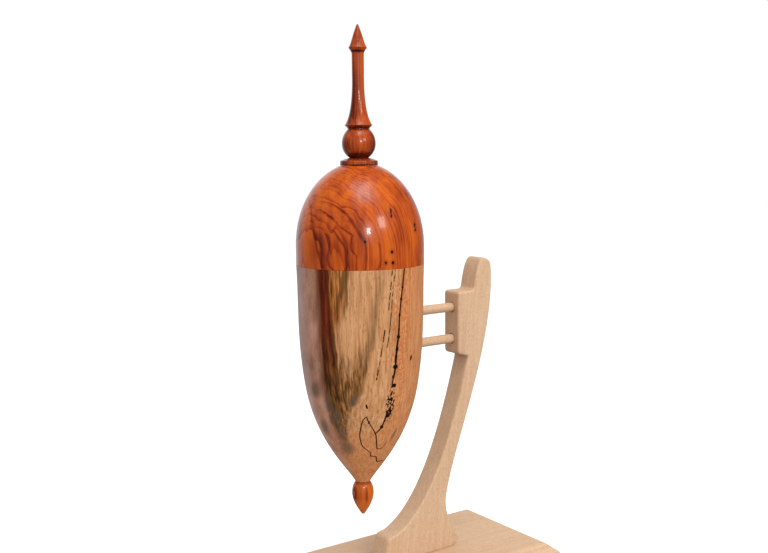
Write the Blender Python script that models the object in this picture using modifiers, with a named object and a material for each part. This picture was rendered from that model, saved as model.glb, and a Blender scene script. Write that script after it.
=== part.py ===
"""A turned wooden box with a finial, hung by two dowels from a curved arm on a base board.

Run with: blender --background --python part.py

Lengths are metres and +Z is up. The origin is the middle of the base board's underside,
and +X points from the hanging box to the arm. The turned pieces share one upright axis.
Their heights are counted from the rim of the box's body, where the lid sits.
"""

import math

import bmesh
import bpy
from mathutils import Matrix

# Clearance between two pieces that touch.
GAP = 0.0003

# Base board, with a sloped top edge all round.
BASE_LENGTH = 0.204
BASE_WIDTH = 0.1044
BASE_THICKNESS = 0.020
CHAMFER_RUN = 0.008
CHAMFER_DROP = 0.0066
BASE_EASING = 0.0014

# Arm, cut from one board, with the block that holds the dowels. Across, its sizes are
# counted from the block's face, and upwards from the underside of its foot.
ARM_THICKNESS = 0.0163
ARM_EDGE_RADIUS = 0.0018
BLOCK_FACE_X = 0.0421
BLOCK_HEIGHT = 0.0446
BLOCK_MIDDLE = 0.1619
BLOCK_CORNER = 0.0025
BLOCK_FILLET = 0.0030
BLOCK_DEPTH_TOP = 0.0144
BLOCK_DEPTH_BOTTOM = 0.0091
BLOCK_UNDERCUT = 0.0025
ARM_REAR = 0.0312
ARM_RISE = 0.0459
TIP_WIDTH = 0.0082
TIP_SLOPE = 0.0030
TIP_CORNER = 0.0036
SHOULDER_RISE = 0.0340
WAIST_INSET = 0.0107
WAIST_HEIGHT = 0.0375
HEEL_INSET = 0.0008
HEEL_HEIGHT = 0.0068
HEEL_CORNER = 0.0031
TOE_REACH = 0.0662
TOE_HEIGHT = 0.0178
TOE_LEAN = 0.0040
TOE_CORNER = 0.0030
INSTEP_LENGTH = 0.0070
INSTEP_RISE = 0.0012

# Dowels: glued into the body, loose in the block.
DOWEL_RADIUS = 0.0033
DOWEL_SPACING = 0.0226
DOWELS_BELOW_MIDDLE = 0.0006
DOWEL_IN_BODY = 0.0065
DOWEL_IN_BLOCK = 0.0175
DOWEL_CHAMFER = 0.0004
STANDOFF = 0.0353
PEG_CLEARANCE = 0.0005
PEG_HOLE_END = 0.0010

# Body of the box.
BODY_RADIUS = 0.0424
BODY_LENGTH = 0.1487
RIM_ABOVE_DOWELS = 0.0480
KNEE_DROP = 0.0808
KNEE_INSET = 0.0045
BODY_TIP_RADIUS = 0.0050
BODY_WALL = 0.0080
FLOOR_THICKNESS = 0.0230
RIM_WALL = 0.0064
MOUTH_SHOULDER = 0.0020

# Lid.
LID_STRAIGHT = 0.0124
DOME_HEIGHT = 0.0545
LID_WALL = 0.0074
CROWN_THICKNESS = 0.0083
SPIGOT_LENGTH = 0.0080
SPIGOT_WALL = 0.0040
SPIGOT_END_GAP = 0.0010

# Finial on the lid. Heights are counted from the underside of its flange.
FLANGE_RADIUS = 0.0124
FLANGE_THICKNESS = 0.0029
BALL_RADIUS = 0.01105
BALL_HEIGHT = 0.0140
GROOVE_RADIUS = 0.0062
NECK_RADIUS = 0.0072
NECK_DROP = 0.0020
COLLAR_RADIUS = 0.0091
COLLAR_HEIGHT = 0.0260
STEM_RADIUS = 0.0039
STEM_FOOT_RISE = 0.0297
SPEAR_RADIUS = 0.0061
SPEAR_HEIGHT = 0.0761
SPEAR_FLARE = 0.0074
FINIAL_HEIGHT = 0.0906
FINIAL_TENON_RADIUS = 0.0040

# Drop finial under the body.
DROP_RADIUS = 0.0074
DROP_LENGTH = 0.0232
DROP_BELLY = 0.0078
DROP_TENON_RADIUS = 0.0030
DROP_TENON_LENGTH = 0.0110

# Wood screws up through the base board into the foot of the arm.
SCREW_LENGTH = 0.032
SCREW_RADIUS = 0.0020
SCREW_HEAD_RADIUS = 0.0040
SCREW_HEAD_HEIGHT = 0.0028
SCREW_HEAD_RIM = 0.0006
SCREW_POINT = 0.0050
SCREW_TIP_RADIUS = 0.0006
SCREW_RECESS = 0.0006
SCREW_SPACING = 0.036
REAR_SCREW_SETBACK = 0.014
DRIVE_SPAN = 0.0048
DRIVE_WIDTH = 0.0009
DRIVE_DEPTH = 0.0016

# Facets round each turned piece.
BODY_STEPS = 48
FINIAL_STEPS = 24
PEG_STEPS = 24

# Places that follow from the sizes above.
VESSEL_X = BLOCK_FACE_X - STANDOFF - BODY_RADIUS
FOOT_Z = BASE_THICKNESS + GAP
BLOCK_TOP = BLOCK_MIDDLE + BLOCK_HEIGHT / 2
BLOCK_BOTTOM = BLOCK_MIDDLE - BLOCK_HEIGHT / 2
UNDER_BLOCK = (BLOCK_DEPTH_BOTTOM, BLOCK_BOTTOM - BLOCK_UNDERCUT)
REAR_SHOULDER = (ARM_REAR, BLOCK_MIDDLE + SHOULDER_RISE)
DOWELS_Z = FOOT_Z + BLOCK_MIDDLE - DOWELS_BELOW_MIDDLE
RIM_Z = DOWELS_Z + RIM_ABOVE_DOWELS
MOUTH_RADIUS = BODY_RADIUS - RIM_WALL
MOUTH_DEPTH = SPIGOT_LENGTH + SPIGOT_END_GAP
SEAT_HEIGHT = LID_STRAIGHT + DOME_HEIGHT * math.sqrt(1 - (FLANGE_RADIUS / BODY_RADIUS) ** 2)


# ---------------------------------------------------------------- curves


def bezier(start, start_handle, end_handle, end, count):
    """Points along a cubic curve, without its first one. Handles are offsets from their ends."""
    controls = (
        start,
        (start[0] + start_handle[0], start[1] + start_handle[1]),
        (end[0] + end_handle[0], end[1] + end_handle[1]),
        end,
    )
    points = []
    for step in range(1, count + 1):
        t = step / count
        weights = ((1 - t) ** 3, 3 * t * (1 - t) ** 2, 3 * t * t * (1 - t), t**3)
        points.append(tuple(sum(w * c[axis] for w, c in zip(weights, controls)) for axis in (0, 1)))
    return points


def ellipse(centre_height, across, upward, start, end, count):
    """(radius, height) points on an ellipse about the turning axis, from one angle to another."""
    points = []
    for step in range(count + 1):
        angle = start + (end - start) * step / count
        points.append((across * math.cos(angle), centre_height + upward * math.sin(angle)))
    return points


def rounded_corner(before, corner, after, radius, count):
    """Points that cut the corner between two straight sides with a soft curve."""
    ends = []
    for other in (before, after):
        reach = radius / math.dist(corner, other)
        ends.append(tuple(c + (o - c) * reach for c, o in zip(corner, other)))
    points = []
    for step in range(count + 1):
        t = step / count
        weights = ((1 - t) ** 2, 2 * t * (1 - t), t * t)
        points.append(
            tuple(
                sum(w * p[axis] for w, p in zip(weights, (ends[0], corner, ends[1])))
                for axis in (0, 1)
            )
        )
    return points


# ---------------------------------------------------------------- scene and objects


def clear_scene():
    for obj in list(bpy.data.objects):
        bpy.data.objects.remove(obj, do_unlink=True)


def new_collection(name):
    collection = bpy.data.collections.new(name)
    bpy.context.scene.collection.children.link(collection)
    return collection


def material(name, colour, roughness, metallic=0.0):
    made = bpy.data.materials.new(name)
    made.use_nodes = True
    shader = made.node_tree.nodes["Principled BSDF"]
    shader.inputs["Base Color"].default_value = (*colour, 1.0)
    shader.inputs["Roughness"].default_value = roughness
    shader.inputs["Metallic"].default_value = metallic
    made.diffuse_color = (*colour, 1.0)
    return made


def axis_empty(name, location):
    """An empty on the axis that a moving piece slides along."""
    empty = bpy.data.objects.new(name, None)
    empty.empty_display_size = 0.02
    empty.location = location
    PARTS.objects.link(empty)
    return empty


def add_piece(name, mesh, look, location, parent=None):
    """Makes one named sub-part. With a parent, the location is the place in the world."""
    piece = bpy.data.objects.new(name, mesh)
    PARTS.objects.link(piece)
    piece.data.materials.clear()
    piece.data.materials.append(look)
    piece.location = location
    if parent:
        piece.parent = parent
        piece.location = [a - b for a, b in zip(location, parent.location)]
    return piece


def add_cutter(name, mesh, location):
    cutter = bpy.data.objects.new(name, mesh)
    CUTTERS.objects.link(cutter)
    cutter.location = location
    cutter.hide_render = True
    cutter.display_type = "WIRE"
    return cutter


def cut(piece, cutter):
    boolean = piece.modifiers.new(cutter.name, "BOOLEAN")
    boolean.operation = "DIFFERENCE"
    boolean.solver = "EXACT"
    boolean.object = cutter


def baked_mesh(obj, name):
    """The object's evaluated mesh on its own, with the object removed."""
    bpy.context.view_layer.update()
    graph = bpy.context.evaluated_depsgraph_get()
    mesh = bpy.data.meshes.new_from_object(obj.evaluated_get(graph))
    mesh.name = name
    bpy.data.objects.remove(obj, do_unlink=True)
    return mesh


def turned_mesh(name, profile, steps):
    """A mesh turned about Z from (radius, height) points that run down its outer side.

    A profile that starts on the axis also ends on it. Any other profile is a closed loop.
    """
    edges = [(i, i + 1) for i in range(len(profile) - 1)]
    if profile[0][0] > 0:
        edges.append((len(profile) - 1, 0))
    line = bpy.data.meshes.new(name)
    line.from_pydata([(radius, 0, height) for radius, height in profile], edges, [])
    blank = bpy.data.objects.new(name, line)
    bpy.context.scene.collection.objects.link(blank)
    screw = blank.modifiers.new("turn", "SCREW")
    screw.axis = "Z"
    screw.angle = 2 * math.pi
    screw.steps = steps
    screw.render_steps = steps
    screw.use_merge_vertices = True
    screw.merge_threshold = 0.00001
    mesh = baked_mesh(blank, name)
    mesh.shade_smooth()
    mesh.set_sharp_from_angle(angle=math.radians(35))
    return mesh


def peg_mesh(name, radius, length):
    """A round bar along +X from its origin, with both ends eased."""
    eased = radius - DOWEL_CHAMFER
    profile = [
        (0, length),
        (eased, length),
        (radius, length - DOWEL_CHAMFER),
        (radius, DOWEL_CHAMFER),
        (eased, 0),
        (0, 0),
    ]
    mesh = turned_mesh(name, profile, PEG_STEPS)
    mesh.transform(Matrix.Rotation(math.radians(90), 4, "Y"))
    return mesh


def box_mesh(name, size):
    """A box centred on its origin."""
    mesh = bpy.data.meshes.new(name)
    shape = bmesh.new()
    bmesh.ops.create_cube(shape, size=1.0)
    bmesh.ops.scale(shape, verts=shape.verts, vec=size)
    shape.to_mesh(mesh)
    shape.free()
    return mesh


# ---------------------------------------------------------------- stand


def make_base_board(look):
    """A board whose top edge slopes down all round, eased on every edge."""
    mesh = box_mesh("base_board", (BASE_LENGTH, BASE_WIDTH, BASE_THICKNESS - CHAMFER_DROP))
    shape = bmesh.new()
    shape.from_mesh(mesh)
    top = [face for face in shape.faces if face.normal.z > 0.5]
    bmesh.ops.inset_region(shape, faces=top, thickness=CHAMFER_RUN, use_even_offset=True)
    bmesh.ops.translate(shape, verts=top[0].verts, vec=(0, 0, CHAMFER_DROP))
    bmesh.ops.bevel(
        shape,
        geom=shape.edges[:],
        offset=BASE_EASING,
        segments=2,
        profile=0.5,
        affect="EDGES",
        clamp_overlap=True,
    )
    shape.to_mesh(mesh)
    shape.free()
    return add_piece("base_board", mesh, look, (0, 0, (BASE_THICKNESS - CHAMFER_DROP) / 2))


def toe_and_front():
    """The arm's outline from the front of its foot up to the underside of the block."""
    toe_front = (-TOE_REACH, 0)
    toe_top = (TOE_LEAN - TOE_REACH, TOE_HEIGHT)
    instep = (toe_top[0] + INSTEP_LENGTH, TOE_HEIGHT + INSTEP_RISE)
    points = [toe_front]
    points += rounded_corner(toe_front, toe_top, instep, TOE_CORNER, 3)
    points.append(instep)
    points += bezier(instep, (0.0315, 0.0133), (-0.0133, -0.0490), UNDER_BLOCK, 14)
    return points


def block_and_tip():
    """The outline round the block and over the arm's rounded upper end."""
    over_block = (BLOCK_DEPTH_TOP, BLOCK_TOP)
    lower_corner = (0, BLOCK_BOTTOM)
    upper_corner = (0, BLOCK_TOP)
    tip_height = BLOCK_MIDDLE + ARM_RISE
    tip_rear = (ARM_REAR - 0.0010, tip_height - TIP_SLOPE)
    tip_front = (tip_rear[0] - TIP_WIDTH, tip_height)
    front_shoulder = (tip_front[0] - 0.0034, tip_height - 0.0060)
    front_rise = (BLOCK_DEPTH_TOP + 0.0010, BLOCK_TOP + 2 * BLOCK_FILLET)
    points = rounded_corner(UNDER_BLOCK, lower_corner, upper_corner, BLOCK_CORNER, 3)
    points += rounded_corner(lower_corner, upper_corner, over_block, BLOCK_CORNER, 3)
    points += rounded_corner(upper_corner, over_block, front_rise, BLOCK_FILLET, 3)
    points.append(front_rise)
    points += bezier(front_rise, (0.0009, 0.0045), (-0.0014, -0.0035), front_shoulder, 3)
    points += rounded_corner(front_shoulder, tip_front, tip_rear, TIP_CORNER, 3)
    points += rounded_corner(tip_front, tip_rear, REAR_SHOULDER, TIP_CORNER, 4)
    points.append(REAR_SHOULDER)
    return points


def back_and_heel():
    """The outline down the arm's back, in at its waist and out again to the heel."""
    waist = (-WAIST_INSET, WAIST_HEIGHT)
    heel = (-HEEL_INSET, HEEL_HEIGHT)
    heel_foot = (-HEEL_INSET - HEEL_CORNER, 0)
    points = bezier(REAR_SHOULDER, (0.0013, -0.0570), (0.0058, 0.0342), waist, 14)
    points += bezier(waist, (-0.0015, -0.0095), (-0.0070, 0.0102), heel, 6)
    points += bezier(heel, (0.0010, -0.0020), (0.0016, 0.0020), heel_foot, 4)
    return points


def outline_mesh(name, points, thickness):
    """A flat plate of the outline, standing in the XZ plane with its middle on Y = 0."""
    curve = bpy.data.curves.new(name, "CURVE")
    curve.dimensions = "2D"
    curve.fill_mode = "BOTH"
    curve.extrude = thickness / 2
    spline = curve.splines.new("POLY")
    spline.points.add(len(points) - 1)
    for point, (x, z) in zip(spline.points, points):
        point.co = (x, z, 0, 1)
    spline.use_cyclic_u = True
    blank = bpy.data.objects.new(name, curve)
    bpy.context.scene.collection.objects.link(blank)
    mesh = baked_mesh(blank, name)
    shape = bmesh.new()
    shape.from_mesh(mesh)
    bmesh.ops.remove_doubles(shape, verts=shape.verts, dist=0.00001)
    bmesh.ops.rotate(
        shape, verts=shape.verts, cent=(0, 0, 0), matrix=Matrix.Rotation(math.radians(90), 3, "X")
    )
    bmesh.ops.recalc_face_normals(shape, faces=shape.faces)
    shape.to_mesh(mesh)
    shape.free()
    return mesh


def round_side_edges(mesh, half_thickness, radius):
    """Rounds the outline's edges on both sides, but not along the flat underside."""
    shape = bmesh.new()
    shape.from_mesh(mesh)
    bmesh.ops.dissolve_limit(shape, angle_limit=0.001, verts=shape.verts, edges=shape.edges)
    sides = [
        edge
        for edge in shape.edges
        if all(abs(abs(vert.co.y) - half_thickness) < GAP for vert in edge.verts)
        and edge.verts[0].co.y * edge.verts[1].co.y > 0
        and max(vert.co.z for vert in edge.verts) > GAP
    ]
    bmesh.ops.bevel(shape, geom=sides, offset=radius, segments=2, profile=0.5, affect="EDGES")
    shape.to_mesh(mesh)
    shape.free()
    mesh.shade_smooth()
    mesh.set_sharp_from_angle(angle=math.radians(35))


def make_arm(look):
    outline = toe_and_front() + block_and_tip() + back_and_heel()
    mesh = outline_mesh("arm", outline, ARM_THICKNESS)
    round_side_edges(mesh, ARM_THICKNESS / 2, ARM_EDGE_RADIUS)
    return add_piece("arm", mesh, look, (BLOCK_FACE_X, 0, FOOT_Z))


def screw_profile(grown):
    """A countersunk screw with its head at the bottom, made larger all round by a clearance."""
    head = SCREW_HEAD_RADIUS + grown
    shank = SCREW_RADIUS + grown
    return [
        (0, SCREW_LENGTH + grown),
        (SCREW_TIP_RADIUS + grown, SCREW_LENGTH + grown),
        (shank, SCREW_LENGTH - SCREW_POINT + grown),
        (shank, SCREW_HEAD_HEIGHT + grown),
        (head, SCREW_HEAD_RIM),
    ]


def make_screws(look, base_board, arm):
    """Two screws from below, each with the hole that it makes in the board and the foot."""
    for number, name in enumerate(("screw_rear", "screw_front")):
        place = (BLOCK_FACE_X - REAR_SCREW_SETBACK - number * SCREW_SPACING, 0, SCREW_RECESS)
        solid = turned_mesh(name, screw_profile(0) + [(SCREW_HEAD_RADIUS, 0), (0, 0)], PEG_STEPS)
        screw = add_piece(name, solid, look, place)
        for turn, axis in enumerate("xy"):
            size = [DRIVE_SPAN, DRIVE_WIDTH, DRIVE_DEPTH * 2]
            if turn:
                size[0], size[1] = size[1], size[0]
            cut(screw, add_cutter(f"{name}_drive_{axis}", box_mesh(f"drive_{axis}", size), place))
        head = SCREW_HEAD_RADIUS + GAP
        below = -SCREW_RECESS - 2 * GAP
        hole = turned_mesh(f"{name}_hole", screw_profile(GAP) + [(head, below), (0, below)], PEG_STEPS)
        hole_cutter = add_cutter(f"{name}_hole", hole, place)
        cut(base_board, hole_cutter)
        cut(arm, hole_cutter)


# ---------------------------------------------------------------- box


def body_profile():
    """From the hollow's floor up the inside, over the rim, down the outside to the tenon hole."""
    tip = -BODY_LENGTH
    knee = BODY_RADIUS - KNEE_INSET
    floor = (0, tip + FLOOR_THICKNESS)
    inner_knee = (knee - BODY_WALL, -KNEE_DROP)
    throat = (MOUTH_RADIUS - MOUTH_SHOULDER, -MOUTH_DEPTH)
    points = [floor]
    points += bezier(floor, (0.0120, 0), (-0.0050, -0.0280), inner_knee, 7)
    points += bezier(inner_knee, (0.0044, 0.0290), (0, -0.0200), throat, 5)
    points += [(MOUTH_RADIUS, -MOUTH_DEPTH), (MOUTH_RADIUS, 0), (BODY_RADIUS, 0)]
    points += bezier((BODY_RADIUS, 0), (-0.0013, -0.0282), (0.0050, 0.0314), (knee, -KNEE_DROP), 9)
    points += bezier(
        (knee, -KNEE_DROP), (-0.0061, -0.0381), (0.0066, 0.0113), (BODY_TIP_RADIUS, tip), 12
    )
    hole = DROP_TENON_RADIUS + GAP
    hole_end = tip + DROP_TENON_LENGTH + GAP
    points += [(hole, tip), (hole, hole_end), (0, hole_end)]
    return points


def make_body(look, axis):
    mesh = turned_mesh("body", body_profile(), BODY_STEPS)
    return add_piece("body", mesh, look, (VESSEL_X, 0, RIM_Z), axis)


def lid_profile():
    """A closed loop: over the dome, down to the rim, round the spigot and up the hollow."""
    hole = FINIAL_TENON_RADIUS + GAP
    start = math.acos(FLANGE_RADIUS / BODY_RADIUS)
    inner_radius = BODY_RADIUS - LID_WALL
    inner_rise = SEAT_HEIGHT - CROWN_THICKNESS - LID_STRAIGHT
    spigot = MOUTH_RADIUS - GAP
    spigot_inner = spigot - SPIGOT_WALL
    points = [(hole, SEAT_HEIGHT)]
    points += ellipse(LID_STRAIGHT, BODY_RADIUS, DOME_HEIGHT, start, 0, 11)
    points += [(BODY_RADIUS, GAP), (spigot, GAP), (spigot, -SPIGOT_LENGTH)]
    points += [(spigot_inner, -SPIGOT_LENGTH), (spigot_inner, LID_STRAIGHT / 4)]
    points += ellipse(LID_STRAIGHT, inner_radius, inner_rise, 0, math.acos(hole / inner_radius), 9)
    return points


def make_lid(look, axis):
    mesh = turned_mesh("lid", lid_profile(), BODY_STEPS)
    return add_piece("lid", mesh, look, (VESSEL_X, 0, RIM_Z), axis)


def finial_profile():
    """From the point of the spear down its stem, collar, ball and flange to the tenon."""
    ball_top = math.acos(NECK_RADIUS / BALL_RADIUS)
    ball_foot = -math.acos(GROOVE_RADIUS / BALL_RADIUS)
    tip = (0.0008, FINIAL_HEIGHT - 0.0006)
    spear = (SPEAR_RADIUS, SPEAR_HEIGHT)
    stem_top = (STEM_RADIUS, SPEAR_HEIGHT - SPEAR_FLARE)
    stem_foot = (STEM_RADIUS, COLLAR_HEIGHT + STEM_FOOT_RISE)
    collar = (COLLAR_RADIUS - 0.0005, COLLAR_HEIGHT + 0.0005)
    points = [(0, FINIAL_HEIGHT), tip]
    points += bezier(tip, (0.0028, -0.0072), (-0.0019, 0.0030), spear, 6)
    points += bezier(spear, (-0.0012, -0.0018), (0, 0.0042), stem_top, 4)
    points.append(stem_foot)
    points += bezier(stem_foot, (0, -0.0180), (-0.0023, 0.0032), collar, 7)
    points += [(COLLAR_RADIUS, COLLAR_HEIGHT), (NECK_RADIUS, COLLAR_HEIGHT - NECK_DROP)]
    points += ellipse(BALL_HEIGHT, BALL_RADIUS, BALL_RADIUS, ball_top, ball_foot, 10)
    points += [(FLANGE_RADIUS - 0.0034, FLANGE_THICKNESS + 0.0012)]
    points += [(FLANGE_RADIUS - 0.0002, FLANGE_THICKNESS), (FLANGE_RADIUS, FLANGE_THICKNESS - 0.0004)]
    points += [(FLANGE_RADIUS, 0.0003), (FLANGE_RADIUS - 0.0003, 0)]
    tenon_end = -(CROWN_THICKNESS - 0.0005)
    points += [(FINIAL_TENON_RADIUS, 0), (FINIAL_TENON_RADIUS, tenon_end), (0, tenon_end)]
    return points


def make_finial(look, axis):
    mesh = turned_mesh("finial", finial_profile(), FINIAL_STEPS)
    return add_piece("finial", mesh, look, (VESSEL_X, 0, RIM_Z + SEAT_HEIGHT + GAP), axis)


def drop_profile():
    """From the top of the tenon down over the bulb to its blunt point."""
    belly = (DROP_RADIUS, -DROP_BELLY)
    point = (0.0012, -DROP_LENGTH + 0.0006)
    points = [(0, DROP_TENON_LENGTH), (DROP_TENON_RADIUS, DROP_TENON_LENGTH), (DROP_TENON_RADIUS, 0)]
    points.append((BODY_TIP_RADIUS, 0))
    points += bezier((BODY_TIP_RADIUS, 0), (0.0016, -0.0017), (0, 0.0032), belly, 4)
    points += bezier(belly, (0, -0.0047), (0.0040, 0.0056), point, 7)
    points.append((0, -DROP_LENGTH))
    return points


def make_drop_finial(look, axis):
    mesh = turned_mesh("drop_finial", drop_profile(), FINIAL_STEPS)
    return add_piece("drop_finial", mesh, look, (VESSEL_X, 0, RIM_Z - BODY_LENGTH - GAP), axis)


def make_dowels(look, body, arm, axis):
    """Two dowels, with a close hole for each in the body and a loose one in the block."""
    length = DOWEL_IN_BODY + STANDOFF + DOWEL_IN_BLOCK
    start_x = BLOCK_FACE_X - STANDOFF - DOWEL_IN_BODY
    for name, side in (("dowel_upper", 0.5), ("dowel_lower", -0.5)):
        height = DOWELS_Z + side * DOWEL_SPACING
        add_piece(name, peg_mesh(name, DOWEL_RADIUS, length), look, (start_x, 0, height), axis)
        fixed = peg_mesh(f"{name}_fixed", DOWEL_RADIUS + GAP, DOWEL_IN_BODY + STANDOFF / 2)
        cut(body, add_cutter(f"{name}_fixed", fixed, (start_x - GAP, 0, height)))
        loose_length = STANDOFF / 2 + DOWEL_IN_BLOCK + PEG_HOLE_END
        loose = peg_mesh(f"{name}_loose", DOWEL_RADIUS + PEG_CLEARANCE, loose_length)
        cut(arm, add_cutter(f"{name}_loose", loose, (BLOCK_FACE_X - STANDOFF / 2, 0, height)))


# ---------------------------------------------------------------- build

clear_scene()
PARTS = new_collection("hanging_finial_box")
CUTTERS = new_collection("cutters")

pale_beech = material("pale_beech", (0.68, 0.44, 0.28), 0.5)
spalted_beech = material("spalted_beech", (0.58, 0.33, 0.17), 0.38)
yew = material("yew", (0.42, 0.12, 0.03), 0.25)
bright_steel = material("bright_steel", (0.6, 0.58, 0.5), 0.35, 1.0)

vessel_axis = axis_empty("vessel_axis", (VESSEL_X, 0, RIM_Z))
lid_axis = axis_empty("lid_axis", (VESSEL_X, 0, RIM_Z))

base_board = make_base_board(pale_beech)
arm = make_arm(pale_beech)
make_screws(bright_steel, base_board, arm)
body = make_body(spalted_beech, vessel_axis)
make_drop_finial(yew, vessel_axis)
make_dowels(pale_beech, body, arm, vessel_axis)
make_lid(yew, lid_axis)
make_finial(yew, lid_axis)
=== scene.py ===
"""The looks of a lidded, turned box that hangs on a curved wooden stand."""

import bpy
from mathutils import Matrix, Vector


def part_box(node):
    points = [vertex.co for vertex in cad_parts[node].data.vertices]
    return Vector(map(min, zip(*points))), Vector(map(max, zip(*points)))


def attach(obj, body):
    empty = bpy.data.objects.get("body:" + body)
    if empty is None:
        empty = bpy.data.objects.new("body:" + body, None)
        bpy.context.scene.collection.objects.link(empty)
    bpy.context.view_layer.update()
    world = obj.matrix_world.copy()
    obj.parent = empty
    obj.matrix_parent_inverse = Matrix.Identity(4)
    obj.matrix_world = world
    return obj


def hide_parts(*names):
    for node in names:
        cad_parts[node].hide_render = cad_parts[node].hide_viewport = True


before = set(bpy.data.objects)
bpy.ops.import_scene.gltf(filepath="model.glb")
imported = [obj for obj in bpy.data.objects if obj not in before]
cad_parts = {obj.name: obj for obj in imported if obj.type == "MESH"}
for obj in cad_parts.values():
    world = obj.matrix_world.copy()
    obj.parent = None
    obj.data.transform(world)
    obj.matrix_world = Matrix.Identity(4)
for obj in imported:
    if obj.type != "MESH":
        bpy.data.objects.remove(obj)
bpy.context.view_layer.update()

import functools
import math
import types

import bmesh
import bpy
import numpy as np
from mathutils import Matrix, Vector

MM = 0.001
# faces that meet at a sharper angle than this show an edge
CREASE = math.radians(32)

# -------------------------------- places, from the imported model

BOARD_LOW, BOARD_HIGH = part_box("base_board")
ARM_LOW, ARM_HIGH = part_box("arm")
BODY_LOW, BODY_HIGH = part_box("body")
AXIS_X = (BODY_LOW.x + BODY_HIGH.x) / 2
RIM = (AXIS_X, 0, BODY_HIGH.z)
TOE_REACH = 66.2
BLOCK_FACE_X = ARM_LOW.x + TOE_REACH * MM
FINIAL_HEIGHT = 90.6
FINIAL_FOOT = (AXIS_X, 0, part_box("finial")[1].z - FINIAL_HEIGHT * MM)
DROP_TENON = 11.0
DROP_SHOULDER = (AXIS_X, 0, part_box("drop_finial")[1].z - DROP_TENON * MM)
DOWELS = ("dowel_upper", "dowel_lower")
SCREWS = ("screw_front", "screw_rear")

# the side of the box that carries its figure: X across it, Y into the wood, Z up the grain
SHOW_TURN = math.radians(-34)

# -------------------------------- lines, in millimetres


def bow(start, start_pull, end_pull, end, count=40):
    """A cubic curve, without its first point. Its pulls say how far each handle stands from its end."""
    t = np.linspace(0, 1, count + 1)[1:, None]
    a, d = np.array(start, float), np.array(end, float)
    b, c = a + start_pull, d + end_pull
    return (1 - t) ** 3 * a + 3 * (1 - t) ** 2 * t * b + 3 * (1 - t) * t**2 * c + t**3 * d


def oval(centre_height, across, upward, start, end, count=60):
    """Points (across cos a, centre height + upward sin a) for a from start to end."""
    a = np.linspace(start, end, count)
    return np.stack([across * np.cos(a), centre_height + upward * np.sin(a)], 1)


def line(*bits):
    """One line from points and runs of points."""
    return np.vstack([np.atleast_2d(bit) for bit in bits]).astype(float)


def eased(points, reach, closed=False, steps=6):
    """Turns each corner P of a line into the curve (1-t)^2 A + 2t(1-t) P + t^2 B.

    A and B stand reach before and after P on the line, or 0.4 of the way to the next point if that is
    nearer. A bend of under 18 degrees is no corner.
    """
    before, after = points - np.roll(points, 1, 0), np.roll(points, -1, 0) - points
    to_last = np.linalg.norm(before, axis=1, keepdims=True)
    to_next = np.linalg.norm(after, axis=1, keepdims=True)
    bend = (before * after).sum(1, keepdims=True) / np.maximum(to_last * to_next, 1e-9)
    corner = bend < math.cos(math.radians(18))
    if not closed:
        corner[[0, -1]] = False
    part = 0.4
    a = points - np.where(corner, np.minimum(reach, part * to_last), 0) * before / to_last
    b = points + np.where(corner, np.minimum(reach, part * to_next), 0) * after / to_next
    t = np.linspace(0, 1, steps + 1)[None, :, None]
    curves = (1 - t) ** 2 * a[:, None] + 2 * t * (1 - t) * points[:, None] + t**2 * b[:, None]
    dense = curves.reshape(-1, 2)
    moved = np.linalg.norm(dense - np.roll(dense, 1, 0), axis=1) > 1e-4
    if not closed:
        moved[0] = True
    return dense[moved]


# -------------------------------- meshes


def grid_faces(rows, columns, closed_rows):
    """The four-sided faces of a grid whose columns close on themselves, and its rows too if asked."""
    row = np.arange(rows if closed_rows else rows - 1)[:, None]
    column = np.arange(columns)[None, :]
    up, on = (row + 1) % rows, (column + 1) % columns
    corners = [row * columns + column, row * columns + on, up * columns + on, up * columns + column]
    return np.stack(np.broadcast_arrays(*corners), -1).reshape(-1, 4)


def closed_mesh(name, points, faces, caps=()):
    """A mesh with its poles merged and its faces pointing out."""
    mesh = bpy.data.meshes.new(name)
    mesh.from_pydata(points.reshape(-1, 3).tolist(), [], faces.tolist() + [list(cap) for cap in caps])
    shape = bmesh.new()
    shape.from_mesh(mesh)
    bmesh.ops.remove_doubles(shape, verts=shape.verts, dist=1e-7)
    bmesh.ops.recalc_face_normals(shape, faces=shape.faces)
    shape.to_mesh(mesh)
    shape.free()
    mesh.shade_smooth()
    mesh.set_sharp_from_angle(angle=CREASE)
    return mesh


def turned_mesh(name, profile, place, steps=240, along="Z"):
    """A surface of revolution: point i at angle a is (r_i cos a, r_i sin a, h_i) from its place.

    It stands along Z, or lies along X. A profile that starts off the axis is a closed loop.
    """
    radius, height = (profile * MM).T[:, :, None]
    angle = np.linspace(0, 2 * math.pi, steps, endpoint=False)[None, :]
    sides = np.broadcast_arrays(radius * np.cos(angle), radius * np.sin(angle), height)
    order = (0, 1, 2) if along == "Z" else (2, 0, 1)
    points = np.stack([sides[k] for k in order], -1) + np.array(place)
    return closed_mesh(name, points, grid_faces(len(profile), steps, profile[0, 0] > 0.01))


def bore(mesh, cutters):
    """Cuts the cutters' shapes out of a mesh and keeps its smooth shading."""
    blank = bpy.data.objects.new("blank", mesh)
    bpy.context.scene.collection.objects.link(blank)
    tools = []
    for cutter in cutters:
        tool = bpy.data.objects.new("tool", cutter)
        bpy.context.scene.collection.objects.link(tool)
        boolean = blank.modifiers.new("bore", "BOOLEAN")
        boolean.object, boolean.solver, boolean.operation = tool, "EXACT", "DIFFERENCE"
        tools.append(tool)
    bpy.context.view_layer.update()
    cut = bpy.data.meshes.new_from_object(blank.evaluated_get(bpy.context.evaluated_depsgraph_get()))
    cut.name = mesh.name
    for spare in [blank, *tools]:
        bpy.data.objects.remove(spare, do_unlink=True)
    cut.set_sharp_from_angle(angle=CREASE)
    return cut


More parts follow.
